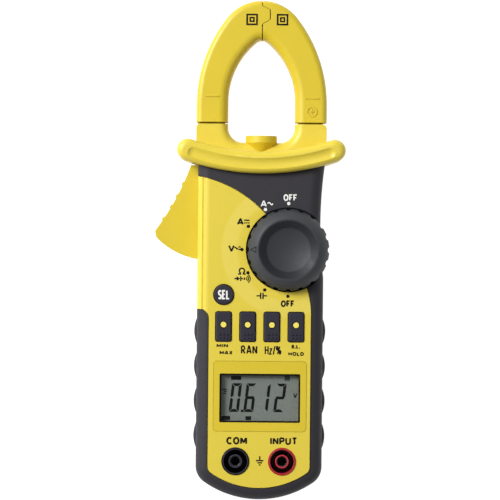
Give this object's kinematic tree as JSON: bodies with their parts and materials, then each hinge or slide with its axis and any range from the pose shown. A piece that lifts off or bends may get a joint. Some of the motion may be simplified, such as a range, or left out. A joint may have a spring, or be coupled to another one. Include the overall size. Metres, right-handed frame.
{
  "type": "clamp meter",
  "caption": "Handheld clamp meter with a spring-closed split jaw, side trigger, hand guard, rotary range switch, push keys, display and two shrouded sockets.",
  "frame": {"origin": "centre of the flat rear face, on the handset's centre line", "axes": "+Z out of the front face, +Y from the handset to the jaws, +X to the reader's right"},
  "size_m": [0.087, 0.2291, 0.0458],
  "materials": {
    "yellow_shell": "satin",
    "dark_skin": "matt",
    "knob_plastic": "satin",
    "black_plastic": "semi-gloss",
    "red_plastic": "semi-gloss",
    "clear_window": "polished",
    "lcd_panel": "satin",
    "white_plastic": "matt",
    "zebra_rubber": "matt",
    "board_green": "satin",
    "core_iron": "dull",
    "copper_winding": "enamelled",
    "brass_contact": "bright",
    "steel_part": "zinc plated",
    "battery_shell": "satin"
  },
  "bodies": {
    "root": {"battery": "battery_shell", "battery_cover": "yellow_shell", "battery_cover_screw": "steel_part", "battery_leads": "black_plastic", "battery_snap": "black_plastic", "buzzer": "black_plastic", "case_screws": "steel_part", "com_contact_sleeve": "brass_contact", "com_socket": "black_plastic", "detent_ring": "white_plastic", "display_panel": "yellow_shell", "display_window": "clear_window", "fixed_jaw_bobbin": "white_plastic", "fixed_jaw_core": "core_iron", "fixed_jaw_front_shell": "yellow_shell", "fixed_jaw_rear_shell": "yellow_shell", "fixed_jaw_winding": "copper_winding", "front_housing": "yellow_shell", "front_skin": "dark_skin", "hall_sensor": "black_plastic", "input_contact_sleeve": "brass_contact", "input_resistors": "black_plastic", "input_socket": "red_plastic", "jaw_pivot_pin": "steel_part", "jaw_return_spring": "steel_part", "key_domes": "steel_part", "lcd_backlight": "white_plastic", "lcd_frame": "white_plastic", "lcd_glass": "lcd_panel", "main_board": "board_green", "meter_chip": "black_plastic", "rear_housing": "yellow_shell", "rear_skin": "dark_skin", "sensor_lead": "black_plastic", "surge_limiter": "black_plastic", "window_boss": "yellow_shell", "zebra_strips": "zebra_rubber"},
    "jaw_lever": {"moving_jaw_bobbin": "white_plastic", "moving_jaw_core": "core_iron", "moving_jaw_front_shell": "yellow_shell", "moving_jaw_rear_shell": "yellow_shell", "moving_jaw_winding": "copper_winding", "trigger": "yellow_shell"},
    "dial": {"detent_rollers": "steel_part", "knob": "knob_plastic", "knob_clip": "steel_part", "wiper_carrier": "white_plastic", "wiper_contacts": "brass_contact"},
    "key_a": {"key_1": "knob_plastic"},
    "key_b": {"key_2": "knob_plastic"},
    "key_c": {"key_3": "knob_plastic"},
    "key_d": {"key_4": "knob_plastic"},
    "select_button": {"select_key": "knob_plastic"}
  },
  "joints": [
    {"name": "jaw_opening", "type": "hinge", "parent": "root", "child": "jaw_lever", "pos_m": [-0.0244, 0.0753, 0.0185], "axis": [0, 0, 1], "range_deg": [0, 22.5], "stiffness_Nm_per_rad": 1.2, "springref_deg": -14.32},
    {"name": "dial_turn", "type": "hinge", "parent": "root", "child": "dial", "pos_m": [0.0127, 0.0378, 0.0365], "axis": [0, 0, 1], "range_deg": [-90, 90]},
    {"name": "press_key_a", "type": "slide", "parent": "root", "child": "key_a", "axis": [0, 0, -1], "range_m": [0, 0.0009], "stiffness_N_per_m": 600},
    {"name": "press_key_b", "type": "slide", "parent": "root", "child": "key_b", "axis": [0, 0, -1], "range_m": [0, 0.0009], "stiffness_N_per_m": 600},
    {"name": "press_key_c", "type": "slide", "parent": "root", "child": "key_c", "axis": [0, 0, -1], "range_m": [0, 0.0009], "stiffness_N_per_m": 600},
    {"name": "press_key_d", "type": "slide", "parent": "root", "child": "key_d", "axis": [0, 0, -1], "range_m": [0, 0.0009], "stiffness_N_per_m": 600},
    {"name": "press_select", "type": "slide", "parent": "root", "child": "select_button", "axis": [0, 0, -1], "range_m": [0, 0.0009], "stiffness_N_per_m": 600}
  ]
}
